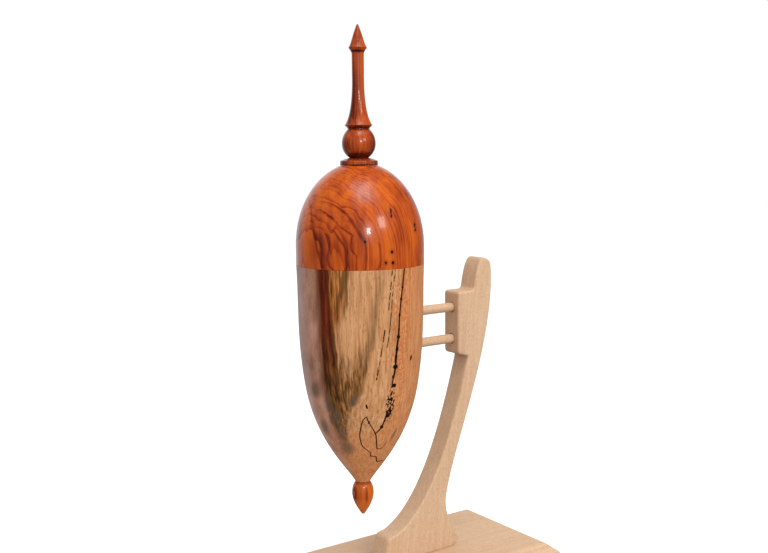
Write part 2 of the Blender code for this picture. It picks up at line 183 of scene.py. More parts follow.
def place_piece(name, mesh, body, node, look):
    """Puts a finished mesh in the scene in place of its CAD node."""
    piece = bpy.data.objects.new(name, mesh)
    bpy.context.scene.collection.objects.link(piece)
    mesh.materials.clear()
    mesh.materials.append(look)
    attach(piece, body)
    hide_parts(node)


# -------------------------------- box


def body_mesh():
    """The box's body: up from the hollow's floor, over the rim and down to the hole in its tip."""
    radius, tip, knee = 42.4, -148.7, (37.9, -80.8)
    ledge, mouth, wall = -9.0, 36.0, 8.0
    floor, inner_knee, throat = (0, tip + 23.0), (knee[0] - wall, knee[1]), (mouth - 2.0, ledge)
    hole, hole_end = 3.3, tip + 11.3
    profile = line(
        floor,
        bow(floor, (12.0, 0), (-5.0, -28.0), inner_knee),
        bow(inner_knee, (4.4, 29.0), (0, -20.0), throat),
        [(mouth, ledge), (mouth, 0), (radius, 0)],
        bow((radius, 0), (-1.3, -28.2), (5.0, 31.4), knee, 56),
        bow(knee, (-6.1, -38.1), (6.6, 11.3), (5.0, tip), 56),
        [(hole, tip), (hole, hole_end), (0, hole_end)],
    )
    mesh = turned_mesh("body_turning", eased(profile, 0.12), RIM, 256)
    return bore(mesh, [dowel_hole(node, 0.3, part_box(node)[0].x, -0.3, 25.0) for node in DOWELS])


def lid_mesh():
    """The lid: a closed loop over the dome, down to the rim, round the spigot and up the hollow."""
    radius, inside, shoulder, flange, hole = 42.4, 35.0, 12.4, 12.4, 4.3
    spigot, spigot_inside, spigot_end, seam = 35.7, 31.7, -8.0, 0.1
    profile = line(
        (hole, 64.5),
        oval(shoulder, radius, 54.5, math.acos(flange / radius), 0, 70),
        [(radius, seam), (spigot, seam), (spigot, spigot_end), (spigot_inside, spigot_end)],
        (spigot_inside, 3.1),
        oval(shoulder, inside, 43.8, 0, math.acos(hole / inside), 60),
    )
    return turned_mesh("lid_turning", eased(profile, 0.12, closed=True), RIM, 256)


def finial_mesh():
    """The lid's finial: spear, stem, collar, ball, flange and tenon, from its point down."""
    tip, spear, stem_top, stem_foot = (0.5, 90.3), (6.0, 75.6), (3.95, 71.4), (3.9, 55.7)
    ball_middle, ball, neck, foot = 14.0, 11.05, 7.1, 6.2
    tenon, tenon_end, seam = 4.0, -7.8, -0.1
    profile = line(
        (0, FINIAL_HEIGHT),
        tip,
        bow(tip, (3.1, -7.4), (-1.9, 3.0), spear),
        bow(spear, (-1.3, -2.2), (0, 1.5), stem_top, 24),
        stem_foot,
        bow(stem_foot, (0, -18.0), (-2.3, 3.2), (8.9, 26.2)),
        [(9.1, 26.0), (neck, 23.9)],
        oval(ball_middle, ball, 12.2, math.acos(neck / ball), 0, 40),
        oval(ball_middle, ball, ball, -0.03, -math.acos(foot / ball), 40),
        [(9.0, 4.1), (12.2, 2.9), (12.4, 2.5), (12.4, seam)],
        [(tenon, seam), (tenon, tenon_end), (0, tenon_end)],
    )
    return turned_mesh("finial_turning", eased(profile, 0.3), FINIAL_FOOT, 160)


def drop_finial_mesh():
    """The small finial under the box: tenon, bulb and blunt point."""
    belly, point = (7.4, -7.8), (1.0, -22.9)
    profile = line(
        [(0, DROP_TENON), (3.0, DROP_TENON), (3.0, 0), (5.0, 0)],
        bow((5.0, 0), (1.6, -1.7), (0, 3.2), belly),
        bow(belly, (0, -4.7), (4.0, 5.6), point),
        (0, -23.2),
    )
    return turned_mesh("drop_turning", eased(profile, 0.25), DROP_SHOULDER, 128)


def dowel_mesh(node):
    """A round bar along X with a small chamfer at each end: radius r, length l of its CAD node."""
    low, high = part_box(node)
    radius, length, chamfer = (high.z - low.z) / 2 / MM, (high.x - low.x) / MM, 0.4
    profile = line([(0, length), (radius - chamfer, length), (radius, length - chamfer)],
                   [(radius, chamfer), (radius - chamfer, 0), (0, 0)])
    return turned_mesh(node, eased(profile, 0.15), (low.x, 0, (low.z + high.z) / 2), 64, "X")


def dowel_hole(node, room, x, first, last):
    """A cutter for a dowel's hole, so much wider than the dowel, from first to last past a place x."""
    low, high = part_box(node)
    radius = (high.z - low.z) / 2 / MM + room
    profile = line([(0, last), (radius, last), (radius, first), (0, first)])
    return turned_mesh("hole", profile, (x, 0, (low.z + high.z) / 2), 64, "X")


# -------------------------------- stand


def arm_outline():
    """The sawn outline of the arm in (x from the block's face, z from its foot), round from the toe."""
    toe, toe_top, instep = (-66.2, 0), (-62.2, 17.8), (-55.2, 19.0)
    block_middle, block_half = 161.9, 22.3
    block_top, block_bottom = block_middle + block_half, block_middle - block_half
    under_block, over_block = (9.1, block_bottom - 2.5), (14.4, block_top)
    lower_corner, upper_corner, rise = (0, block_bottom), (0, block_top), (15.4, block_top + 6.0)
    tip_rear, tip_front, front_shoulder = (30.2, 204.8), (22.0, 207.8), (18.6, 201.8)
    rear_shoulder, waist, heel, heel_foot = (31.2, 195.9), (-10.7, 37.5), (-0.8, 6.8), (-3.9, 0)

    def rounded(before, corner, after, reach, count=10):
        before, corner, after = (np.array(p, float) for p in (before, corner, after))
        a = corner + (before - corner) * reach / np.linalg.norm(before - corner)
        b = corner + (after - corner) * reach / np.linalg.norm(after - corner)
        t = np.linspace(0, 1, count + 1)[:, None]
        return (1 - t) ** 2 * a + 2 * t * (1 - t) * corner + t**2 * b

    return line(
        toe,
        rounded(toe, toe_top, instep, 3.0),
        instep,
        bow(instep, (31.5, 13.3), (-13.3, -49.0), under_block, 70),
        rounded(under_block, lower_corner, upper_corner, 2.5),
        rounded(lower_corner, upper_corner, over_block, 2.5),
        rounded(upper_corner, over_block, rise, 3.0),
        rise,
        bow(rise, (0.9, 4.5), (-1.4, -3.5), front_shoulder, 12),
        rounded(front_shoulder, tip_front, tip_rear, 3.6),
        rounded(tip_front, tip_rear, rear_shoulder, 3.6),
        rear_shoulder,
        bow(rear_shoulder, (1.3, -57.0), (5.8, 34.2), waist, 70),
        bow(waist, (-1.5, -9.5), (-7.0, 10.2), heel, 24),
        bow(heel, (1.0, -2.0), (1.6, 2.0), heel_foot, 14),
    )


def arm_mesh():
    """The outline P carried across the board's thickness; near each side it draws in along its normal N.

    Point (i, a) is P_i + N_i R (1 - cos a), at R (1 - sin a) from the side. The flat underside draws in
    along itself only, so its corners stay sharp.
    """
    half, soft = (ARM_HIGH.y - ARM_LOW.y) / 2 / MM, 1.7
    outline = arm_outline()
    tangent = np.roll(outline, -1, 0) - np.roll(outline, 1, 0)
    tangent /= np.linalg.norm(tangent, axis=1, keepdims=True)
    inward = np.stack([tangent[:, 1], -tangent[:, 0]], 1)
    # along the underside, 1 / sin(slope) keeps the sloping edges at toe and heel parallel
    inward[0], inward[-1] = (1.03, 0), (-1.28, 0)
    turn = np.radians(np.linspace(90, 0, 9))
    draw = np.concatenate([soft * (1 - np.cos(turn)), soft * (1 - np.cos(turn[::-1]))])
    side = np.concatenate([-half + soft * (1 - np.sin(turn)), half - soft * (1 - np.sin(turn[::-1]))])
    flat = outline[None] + inward[None] * draw[:, None, None]
    points = np.stack(np.broadcast_arrays(flat[..., 0], side[:, None], flat[..., 1]), -1) * MM
    points += np.array((BLOCK_FACE_X, 0, ARM_LOW.z))
    count = len(outline)
    caps = [np.arange(count), np.arange(count) + (len(draw) - 1) * count]
    mesh = closed_mesh("arm_board", points, grid_faces(len(draw), count, False), caps)
    holes = [dowel_hole(node, 0.5, BLOCK_FACE_X, -20.0, 18.5) for node in DOWELS]
    return bore(mesh, holes + [screw_hole(node) for node in SCREWS])


def base_mesh():
    """A rounded rectangle that draws in by d at height z, as the edge's line (d, z) says.

    Its corner k at angle a is (+-(A - d - e), +-(B - d - e)) + e (cos a, sin a), with e the easing.
    """
    size, easing, run, drop, flat = (BOARD_HIGH - BOARD_LOW) / MM, 1.4, 8.0, 6.6, 8.0
    edge = line([(12, 0), (0, 0), (0, size.z - drop), (run, size.z), (run + flat, size.z)])
    inset, height = eased(edge, easing).T[:, :, None]
    steps = 7
    quarter = np.repeat(np.arange(4), steps)[None, :]
    angle = np.radians(np.tile(np.linspace(0, 90, steps), 4)[None, :] + 90 * quarter)
    east, north = np.array([1, -1, -1, 1])[quarter], np.array([1, 1, -1, -1])[quarter]
    x = east * (size.x / 2 - inset - easing) + easing * np.cos(angle)
    y = north * (size.y / 2 - inset - easing) + easing * np.sin(angle)
    points = np.stack(np.broadcast_arrays(x, y, height), -1) * MM
    points += np.array(((BOARD_LOW.x + BOARD_HIGH.x) / 2, 0, BOARD_LOW.z))
    rows, columns = points.shape[:2]
    caps = [np.arange(columns), np.arange(columns) + (rows - 1) * columns]
    mesh = closed_mesh("board", points, grid_faces(rows, columns, False), caps)
    return bore(mesh, [screw_hole(node) for node in SCREWS])


def screw_place(node):
    """The middle of a screw's head face."""
    low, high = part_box(node)
    return ((low.x + high.x) / 2, 0, low.z)


def screw_hole(node):
    """A cutter for a screw's hole with its countersink, 0.3 mm clear all round."""
    profile = line([(0, 32.3), (0.9, 32.3), (2.3, 27.3), (2.3, 3.1), (4.3, 0.6), (4.3, -1.2), (0, -1.2)])
    return turned_mesh("hole", profile, screw_place(node), 48)


def screw_mesh(node):
    """A countersunk screw: a plain neck under its head, then a thread, and a point.

    The thread's radius at height h and angle a is core + crest times the ridge of (h / pitch - a / turn),
    where the ridge rises and falls over 0.24 of the pitch to each side.
    """
    steps, rings, pitch, core, crest, neck = 48, 190, 1.9, 1.35, 0.62, 1.95
    head_end, thread_start, run_in, length, taper = 2.9, 10.0, 2.0, 32.0, 6.0
    head = line([(0, 0), (3.9, 0), (4.0, 0.3), (4.0, 0.6), (2.0, 2.8)])
    shank = np.stack([np.full(rings, 2.0), np.linspace(2.95, 31.9, rings)], 1)
    radius, height = line(head, shank, (0, length)).T[:, :, None]
    angle = np.linspace(0, 2 * math.pi, steps, endpoint=False)[None, :]
    phase = (height / pitch - angle / (2 * math.pi)) % 1
    ridge = np.clip(1 - np.abs(phase - 0.5) / 0.24, 0, 1)
    threaded = core + crest * ridge * np.clip((height - thread_start) / run_in, 0, 1)
    narrowed = np.clip((length + 0.2 - height) / taper, 0.06, 1)
    shank_radius = np.where(height < thread_start, neck, threaded) * narrowed
    shaped = np.where(height < head_end, radius, shank_radius) * (radius > 0)
    points = np.stack(np.broadcast_arrays(shaped * np.cos(angle), shaped * np.sin(angle), height), -1) * MM
    points += np.array(screw_place(node))
    mesh = closed_mesh(node + "_metal", points, grid_faces(len(height), steps, False))
    return bore(mesh, [drive_wing(node, turn) for turn in (0, 90)])


def drive_wing(node, turn):
    """One wing of a cross recess: a blade that narrows as it goes in."""
    x, _, z = screw_place(node)
    mouth, floor, quarters = (2.4, 0.5, -0.4), (0.9, 0.35, 1.6), ((-1, -1), (1, -1), (1, 1), (-1, 1))
    corners = [(east * long, north * wide, deep) for long, wide, deep in (mouth, floor)
               for east, north in quarters]
    sides = [(0, 3, 2, 1), (4, 5, 6, 7), (0, 1, 5, 4), (1, 2, 6, 5), (2, 3, 7, 6), (3, 0, 4, 7)]
    mesh = bpy.data.meshes.new("wing")
    mesh.from_pydata([tuple(c * MM for c in corner) for corner in corners], [], sides)
    mesh.transform(Matrix.Translation((x, 0, z)) @ Matrix.Rotation(math.radians(turn), 4, "Z"))
    return mesh


# -------------------------------- nodes


def colour(code):
    """An sRGB hex colour as linear red, green, blue and alpha."""
    parts = [int(code[i : i + 2], 16) / 255 for i in (1, 3, 5)]
    return (*(c / 12.92 if c <= 0.04045 else ((c + 0.055) / 1.055) ** 2.4 for c in parts), 1)


def add(tree, kind, *values, named=None, out=None, stops=None, points=None, **settings):
    """Adds one node, sets it, links or fills its inputs and gives the output asked for, or its first.

    stops are a colour ramp's (place, colour) pairs and points are a curve's (x, y) pairs.
    """
    node = tree.nodes.new("ShaderNode" + kind)
    for name, value in settings.items():
        setattr(node, name, value)
    for key, value in [*enumerate(values), *(named or {}).items()]:
        if isinstance(value, bpy.types.NodeSocket):
            tree.links.new(value, node.inputs[key])
        elif value is not None:
            node.inputs[key].default_value = value
    if stops:
        marks = node.color_ramp.elements
        for _ in stops[2:]:
            marks.new(0.5)
        for mark, (place, tint) in zip(marks, stops):
            mark.position, mark.color = place, colour(tint)
    if points:
        curve = node.mapping.curves[0]
        for _ in points[2:]:
            curve.points.new(0.5, 0.5)
        for point, (x, y) in zip(curve.points, sorted(points)):
            point.location = (x, y)
        node.mapping.update()
    if out is not None:
        return node.outputs[out]
    return next((socket for socket in node.outputs if socket.enabled), None)


def new_look(name):
    """An empty material, and the function that adds a node to it."""
    look = bpy.data.materials.new(name)
    look.use_nodes = True
    look.node_tree.nodes.clear()
    return look, functools.partial(add, look.node_tree)


def finish_look(node, tint, roughness, relief, depth, **shader):
    """The shader, with a relief of so many millimetres, and the material's output."""
    normal = node("Bump", named={"Height": relief, "Strength": 1.0, "Distance": depth * MM})
    named = {"Base Color": tint, "Roughness": roughness, "Normal": normal}
    named.update({name.replace("_", " "): value for name, value in shader.items()})
    node("OutputMaterial", node("BsdfPrincipled", named=named))


# a MapRange that starts and ends softly
SMOOTH = {"interpolation_type": "SMOOTHSTEP"}


def in_wood(node, centre, turn=(0, 0, 0)):
    """Object coordinates in millimetres from a point, turned so that Z runs along the grain."""
    place = node("TexCoord", out="Object")
    return node("Mapping", place, centre, turn, (MM, MM, MM), vector_type="TEXTURE")


def figure(node, place, across, along, detail=2.0, shift=0.0, out=0):
    """Noise in the wood whose marks are so many millimetres across the grain and along it."""
    narrowed = (1 / across, 1 / across, 1 / along)
    squeezed = node("Mapping", place, (shift, shift * 1.7, 0), (0, 0, 0), narrowed)
    return node("TexNoise", squeezed, named={"Scale": 1.0, "Detail": detail}, out=out)


def warped(node, place, *bends):
    """A place pushed about by slow noise. A bend is (size across, size along, push) in millimetres."""
    for across, along, push in bends:
        drift = figure(node, place, across, along, 1.0, out=1)
        drift = node("VectorMath", drift, (0.5, 0.5, 0.5), operation="SUBTRACT")
        drift = node("VectorMath", drift, (push, push, 0), operation="MULTIPLY")
        place = node("VectorMath", place, drift, operation="ADD")
    return place


def across_at(node, along, points):
    """How far across a line down the wood is, at any height. It runs through points (along, across)."""
    low, high = min(a for a, _ in points), max(a for a, _ in points)
    left, right = min(c for _, c in points), max(c for _, c in points)
    share = node("MapRange", along, low, high)
    shaped = [((a - low) / (high - low), (c - left) / (right - left)) for a, c in points]
    return node("MapRange", node("FloatCurve", 1.0, share, points=shaped), 0.0, 1.0, left, right)


def off_line(node, across, along, points, shift=0.0):
    """How far to either side a place is from a line through set points, with the line moved by a shift."""
    gap = node("Math", across, across_at(node, along, points), operation="SUBTRACT")
    return node("Math", node("Math", gap, shift, operation="SUBTRACT"), operation="ABSOLUTE")


def right_of(node, across, along, points, softness, fray=0.0):
    """0 left of a line down the wood and 1 right of it, with so soft an edge, frayed by a shift."""
    gap = node("Math", across, across_at(node, along, points), operation="SUBTRACT")
    gap = node("Math", gap, fray, operation="ADD")
    return node("MapRange", gap, -softness / 2, softness / 2, **SMOOTH)


def drawn(node, across, along, points, width, soft=0.15):
    """1 on a line through set points (along, across), and 0 past its soft edges and its two ends."""
    low, high = min(a for a, _ in points), max(a for a, _ in points)
    off = off_line(node, across, along, points)
    cover = node("MapRange", off, width / 2 + soft, width / 2 - soft, **SMOOTH)
    from_middle = node("Math", along, (low + high) / 2, operation="SUBTRACT")
    from_middle = node("Math", from_middle, operation="ABSOLUTE")
    end = (high - low) / 2
    return overlap(node, cover, node("MapRange", from_middle, end + 0.2, end - 0.2))


def spots(node, place, marks):
    """How far off the nearest spot is, in spot sizes.

    Each mark is (across, height, half width, half height, lean in degrees).
    """
    nearest = None
    for across, height, wide, tall, lean in marks:
        turn = (0, math.radians(lean), 0)
        size = (wide, 1000, tall)
        local = node("Mapping", place, (across, 0, height), turn, size, vector_type="TEXTURE")
        away = node("VectorMath", local, operation="LENGTH", out="Value")
        nearest = away if nearest is None else node("Math", nearest, away, operation="MINIMUM")
    return nearest


def facing(node, place):
    """1 on the side that carries the figure, and 0 on the far side."""
    return node("MapRange", node("SeparateXYZ", place, out=1), 1.0, -4.0)


def most(node, *shares):
    """Where any of several shares holds: the largest of them."""
    return functools.reduce(lambda a, b: node("Math", a, b, operation="MAXIMUM"), shares)


def overlap(node, *shares):
    """Where all of several shares hold: their product."""
    return functools.reduce(lambda a, b: node("Math", a, b, operation="MULTIPLY"), shares)


def stained(node, tint, share, stain, strength=1.0):
    """A tint with a stain, a hex colour or another tint, over it where a share holds, so strongly."""
    stain = colour(stain) if isinstance(stain, str) else stain
    share = overlap(node, share, strength)
    return node("Mix", named={0: share, 6: tint, 7: stain}, data_type="RGBA", out=2)


# -------------------------------- spalted beech

# the beaded black line down the box, as (height from the rim, place across) in millimetres
BEADED = [(0.5, 28.0), (-11, 26.8), (-20, 25.6), (-29, 24.7), (-44, 23.7), (-51, 22.6), (-63, 21.7),
          (-70, 20.2), (-77, 19.3), (-85, 18.0), (-92, 16.6), (-98, 14.9), (-104, 12.2), (-108, 8.6)]


def beech_places(node):
    """What the stains are laid out on: places in millimetres from the rim's middle, and shared noise."""
    wood = types.SimpleNamespace(place=in_wood(node, RIM, (0, 0, SHOW_TURN)))
    wood.bent = warped(node, wood.place, (5, 14, 1.2))
    wood.fine = warped(node, wood.place, (3.0, 5.0, 0.5))
    wood.across, wood.height = (node("SeparateXYZ", wood.bent, out=k) for k in (0, 2))
    wood.line_across, wood.line_height = (node("SeparateXYZ", wood.fine, out=k) for k in (0, 2))
    wood.true_height = node("SeparateXYZ", wood.place, out=2)
    wood.front = facing(node, wood.place)
    wood.streaks = figure(node, wood.place, 1.6, 26, 4.0)
    wood.olive = figure(node, wood.bent, 1.3, 19, 4.0, 3.0)
    wood.fray = node("MapRange", figure(node, wood.place, 1.3, 16, 3.0, 7.0), 0.3, 0.7, -2.6, 2.6)
    return wood


def heartwood(node, wood):
    """Pale tan, and warmer to the right of the beaded line and low down."""
    pale = node("ValToRGB", wood.streaks, stops=[(0.28, "#94623B"), (0.50, "#AF7E54"), (0.72, "#BF9068")])
    warm = node("ValToRGB", wood.streaks, stops=[(0.28, "#A1643C"), (0.50, "#B17549"), (0.72, "#BE8459")])
    warmth = most(node, right_of(node, wood.line_across, wood.line_height, BEADED, 0.8),
                  node("MapRange", wood.height, -96, -116, **SMOOTH))
    return stained(node, pale, warmth, warm)


def smoky_streak(node, wood, tint):
    """A grey-brown streak that starts right of the middle and runs down and inwards."""
    streak = [(2, 14.8), (-7, 13.3), (-22, 9.4), (-38, 7.3), (-48, 5.2), (-55, 2.2), (-66, -0.5),
              (-80, -3)]
    off = off_line(node, wood.across, wood.height, streak)
    smoke = overlap(node, node("MapRange", off, 5.0, 0.4, **SMOOTH),
                    node("MapRange", wood.streaks, 0.32, 0.66, 1.0, 0.5),
                    node("MapRange", wood.height, -30, 0, 0.85, 0.35),
                    node("MapRange", wood.height, -80, -62))
    return stained(node, tint, smoke, "#5E3E1E")


def ochre_strip(node, wood, tint):
    """Ochre streaks in a frayed strip beside the brown band."""
    ochre = node("ValToRGB", wood.olive,
                 stops=[(0.36, "#3A1A04"), (0.46, "#68350A"), (0.56, "#8C501B"), (0.68, "#AE7640")])
    right = [(1, -6.5), (-10, -7.6), (-27, -11.2), (-48, -15.4), (-80, -15.0), (-124, -12.0)]
    past = right_of(node, wood.across, wood.height, right, 7.0, wood.fray)
    strip = node("Math", 1.0, past, operation="SUBTRACT")
    strip = overlap(node, strip, node("MapRange", wood.height, -118, -80, 0.2, 0.95))
    return stained(node, tint, strip, ochre)


def olive_wedge(node, wood, tint):
    """Olive and dark streaks in a wedge lower down, whose top is frayed and falls to both sides."""
    olive = node("ValToRGB", wood.olive,
                 stops=[(0.34, "#2A1606"), (0.46, "#533110"), (0.57, "#7B5022"), (0.70, "#A0733E")])
    right = [(-40, 7.5), (-52, 5.5), (-65, 2.8), (-76, 0.6), (-84, -3.0), (-91, -7.4), (-98, -9.2),
             (-107, -9.4), (-118, -9.5), (-130, -9.0)]
    fray = node("Math", wood.fray, 0.45, operation="MULTIPLY")
    past = right_of(node, wood.across, wood.height, right, 5.0, fray)
    top = node("Math", wood.height, node("Math", wood.fray, 4.0, operation="MULTIPLY"), operation="ADD")
    aside = node("Math", node("Math", wood.across, 7.0, operation="ADD"), operation="ABSOLUTE")
    top = node("Math", top, node("Math", aside, 0.9, operation="MULTIPLY"), operation="SUBTRACT")
    wedge = overlap(node, node("Math", 1.0, past, operation="SUBTRACT"), node("MapRange", top, -56, -72),
                    node("MapRange", wood.height, -134, -98, 0.0, 0.92))
    return stained(node, tint, wedge, olive)


def rim_patch(node, wood, tint):
    """A dark patch at the rim and two short streaks below it."""
    marks = [(-9.8, -5, 2.6, 9, 6), (-14.6, -20, 0.9, 8, 12), (-8.8, -16, 0.9, 9, 0)]
    patch = node("MapRange", spots(node, wood.bent, marks), 1.25, 0.6, **SMOOTH)
    return stained(node, tint, overlap(node, patch, wood.front), "#5A3C18", 0.8)


def brown_and_mauve(node, wood, tint):
    """The red-brown band with a dark border on each side, and the mauve-grey wood to its left."""
    left = [(1, -28.0), (-26, -27.2), (-65, -26.0), (-82, -23.8), (-99, -20.8), (-112, -16.6),
            (-125, -11), (-138, -6)]
    right = [(1, -20.9), (-25, -19.4), (-45, -17.8), (-64, -15.6), (-80, -15.0), (-98, -14.0),
             (-112, -12.6), (-125, -10)]
    past_left = right_of(node, wood.across, wood.height, left, 5.0)
    past_right = right_of(node, wood.across, wood.height, right, 2.6)
    off_left = off_line(node, wood.across, wood.height, left, 3.0)
    off_right = off_line(node, wood.across, wood.height, right, -0.6)

    brown = node("ValToRGB", figure(node, wood.place, 1.8, 30, 3.0, 9.0),
                 stops=[(0.32, "#380E01"), (0.48, "#5A1701"), (0.64, "#802B02")])
    umber = node("ValToRGB", wood.olive, stops=[(0.34, "#331A07"), (0.50, "#563110"), (0.66, "#7C4E22")])
    brown = stained(node, brown, node("MapRange", wood.height, -34, -74), umber)
    border = node("MapRange", node("Math", off_right, off_left, operation="MINIMUM"), 2.4, 0.2)
    brown = stained(node, brown, border, "#2C1105", 0.7)
    band = node("Math", past_left, past_right, operation="SUBTRACT")
    tint = stained(node, tint, overlap(node, band, node("MapRange", wood.height, -112, -72)), brown)

    mauve = node("ValToRGB", figure(node, wood.place, 12, 22, 3.0, 5.0),
                 stops=[(0.32, "#7C5646"), (0.50, "#966A56"), (0.68, "#AC806A")])
    # painted reflection: the mauve pales to lavender-grey from 9 to 15 mm left of the band, towards the
    # left limb
    mauve = stained(node, mauve, node("MapRange", off_left, 9.0, 15.0), "#A08A86", 0.6)
    # the mauve darkens next to the band, and it grows up to 36% lighter from 66 to 118 mm below the rim,
    # which is painted light on the underside
    shade = overlap(node, node("MapRange", off_left, 0.0, 9.0, 0.80, 1.0),
                    node("MapRange", wood.streaks, 0.3, 0.7, 0.93, 1.07),
                    node("MapRange", wood.height, -66, -118, 1.0, 1.36))
    mauve = node("VectorMath", mauve, shade, operation="MULTIPLY")
    outside = overlap(node, node("Math", 1.0, past_left, operation="SUBTRACT"),
                      node("MapRange", wood.height, -146, -112, 0.2, 1.0))
    return stained(node, tint, outside, mauve)


def grey_smudges(node, wood, tint):
    """Soft grey smudges low down, and one small slanted smear on the right."""
    marks = [(-30, -80, 3.5, 7, 0), (-5, -84, 3.5, 5, 20), (-17, -97, 4.5, 8, 0), (-21, -88, 2.6, 9, -12),
             (-25, -106, 3, 7, -15), (-13, -109, 3.2, 9, -20), (-9.5, -119, 5, 6, -20),
             (20.4, -111.5, 1.3, 5.0, 22)]
    smudge = node("MapRange", spots(node, wood.bent, marks), 1.3, 0.3, **SMOOTH)
    return stained(node, tint, overlap(node, smudge, wood.front), "#5A4838", 0.72)


def orange_ripples(node, wood, tint):
    """Orange flecks along the beaded line, and ripples to its right that sag like cups.

    The ripples are the sine of 1.75 times the height in millimetres, which puts them 3.6 mm apart.
    """
    off = off_line(node, wood.line_across, wood.line_height, BEADED, 4.2)
    cup = node("Math", node("Math", off, 2.0, operation="POWER"), 0.17, operation="MULTIPLY")
    wave = node("Math", wood.line_height, cup, operation="SUBTRACT")
    wave = node("Math", wave, 1.75, operation="MULTIPLY")
    sway = figure(node, wood.place, 5, 7, 1.0, 51.0)
    wave = node("Math", wave, node("Math", sway, 16.0, operation="MULTIPLY"), operation="ADD")
    ripple = overlap(node, node("MapRange", node("Math", wave, operation="SINE"), 0.20, 0.95),
                     node("MapRange", sway, 0.40, 0.58, 0.1, 1.0),
                     node("MapRange", off, 5.4, 2.6),
                     node("MapRange", wood.true_height, -60, -24, 1.0, 0.2),
                     node("MapRange", wood.true_height, -108, -84, 0.35, 1.0))
    beside = off_line(node, wood.line_across, wood.line_height, BEADED, 0.5)
    dots = overlap(node, node("MapRange", figure(node, wood.place, 1.5, 2.2, 2.0, 41.0), 0.50, 0.58),
                   node("MapRange", beside, 8.0, 3.0), node("MapRange", wood.true_height, -74, -56), 0.95)
    return stained(node, tint, overlap(node, most(node, ripple, dots), wood.front), "#A85218", 0.72)


def zone_lines(node, wood, tint):
    """Black zone lines, each (width, points): broken, whole and level, with beads and a frayed cluster."""
    broken = [(0.7, [(0.5, 20.3), (-12, 19.0), (-26, 17.5)]),
              (0.6, [(0.5, 22.2), (-14, 20.4), (-34, 18.7), (-50, 16.3)]),
              (0.8, [(-38, 15.2), (-52, 12.9), (-61, 11.2), (-71, 9.4)])]
    whole = [(0.95, BEADED[:9]),
             (1.2, [(-93, 16.3), (-98, 14.9), (-104, 12.2), (-108, 8.6)]),
             (1.3, [(-38, 24.1), (-44, 23.7), (-51, 22.6), (-63, 21.7), (-70, 20.2)]),
             (0.8, [(-95.2, 2.6), (-100, -0.2), (-105, -1.2), (-109.6, -1.6), (-113.6, -1.1), (-117, 0.1),
                    (-119.8, 2.5), (-122.6, 5.6)]),
             (0.85, [(-95.2, 2.6), (-100.8, 5.0), (-104.8, 7.1), (-109, 8.7), (-113.6, 9.2),
                     (-120.3, 9.6)]),
             (0.7, [(-122.5, 5.4), (-125.6, 5.2)]),
             (0.8, [(-126.2, 8.8), (-131, 9.4)])]
    # these run across the wood, so their points are (across, height)
    level = [(0.6, [(9.6, -120.3), (12.4, -120.1), (14.4, -118), (16.2, -114)]),
             (0.7, [(5.0, -125.4), (7.0, -125.9), (8.9, -126.4)]),
             (0.8, [(9.2, -130.9), (13.8, -131.6)])]
    beads = [(26.7, -11.8, 0.7, 1.1, 0), (25.7, -19.4, 0.7, 1.2, 0), (24.7, -29.4, 0.75, 1.3, 0),
             (23.8, -43.6, 1.1, 1.4, 0), (23.2, -47.5, 0.7, 3.0, 8), (22.7, -51.6, 1.0, 2.0, 8),
             (22.0, -57, 0.8, 3.5, 8), (21.7, -63.0, 1.7, 1.6, 0), (20.3, -69.6, 0.9, 1.4, 0),
             (20.9, -75.4, 1.35, 1.35, 0), (32.1, -59, 0.6, 1.9, 10), (3.0, -88.2, 0.65, 1.7, -12),
             (19.0, -84.5, 1.0, 1.6, 0), (17.9, -92, 1.0, 1.8, 0), (16.4, -96, 1.6, 1.2, 0),
             (12.6, -103.5, 1.2, 1.2, 0), (4.4, -99.4, 0.5, 1.2, 30)]
    cluster = [(18.0, -88.5, 3.0, 12, 9)]

    def lines(across, along, runs):
        return most(node, *(drawn(node, across, along, points, width) for width, points in runs))

    breaks = node("MapRange", figure(node, wood.place, 2, 3.2, 1.0, 13.0), 0.40, 0.52)
    specks = node("MapRange", figure(node, wood.place, 1.4, 1.7, 1.0, 21.0), 0.50, 0.54)
    black = most(node, lines(wood.line_across, wood.line_height, whole),
                 lines(wood.line_height, wood.line_across, level),
                 overlap(node, lines(wood.line_across, wood.line_height, broken), breaks),
                 node("MapRange", spots(node, wood.fine, beads), 1.15, 0.85, **SMOOTH),
                 overlap(node, node("MapRange", spots(node, wood.place, cluster), 1.1, 0.8), specks))

    # on the far side the lines wander where two stains meet
    wander = node("Math", figure(node, wood.bent, 26, 70, 1.0, 31.0), 0.5, operation="SUBTRACT")
    wander = node("MapRange", node("Math", wander, operation="ABSOLUTE"), 0.0055, 0.0025)
    behind = node("MapRange", node("SeparateXYZ", wood.place, out=1), 4.0, 9.0)
    black = most(node, overlap(node, black, wood.front), overlap(node, wander, behind))
    return stained(node, tint, black, "#150B06")


def spalted_beech():
    """Spalted beech, turned, sanded and oiled: pale tan wood, stained by fungus in bands down the grain.

    The eye sees a satin surface, brown and olive streaks, and thin black zone lines with beads on them.
    """
    look, node = new_look("spalted_beech_oiled")
    wood = beech_places(node)
    tint = heartwood(node, wood)
    for stain in (smoky_streak, ochre_strip, olive_wedge, rim_patch, brown_and_mauve, grey_smudges,
                  orange_ripples, zone_lines):
        tint = stain(node, wood, tint)
    flecks = node("MapRange", figure(node, wood.place, 0.7, 3.2, 1.0, 17.0), 0.62, 0.70)
    tint = stained(node, tint, flecks, "#5E3416", 0.42)
    fibres = figure(node, wood.place, 0.35, 7, 2.0)
    # fibres vary the tone, and the body grows up to 10% lighter from 66 to 112 mm below the rim, which is
    # painted light on the underside
    shade = overlap(node, node("MapRange", fibres, 0.3, 0.7, 0.90, 1.08),
                    node("MapRange", wood.height, -66, -112, 1.0, 1.10))
    tint = node("VectorMath", tint, shade, operation="MULTIPLY")
    roughness = node("MapRange", wood.streaks, 0.3, 0.7, 0.42, 0.52)
    finish_look(node, tint, roughness, fibres, 0.02, Specular_IOR_Level=0.13)
    return look


# -------------------------------- plain woods, metal and paper


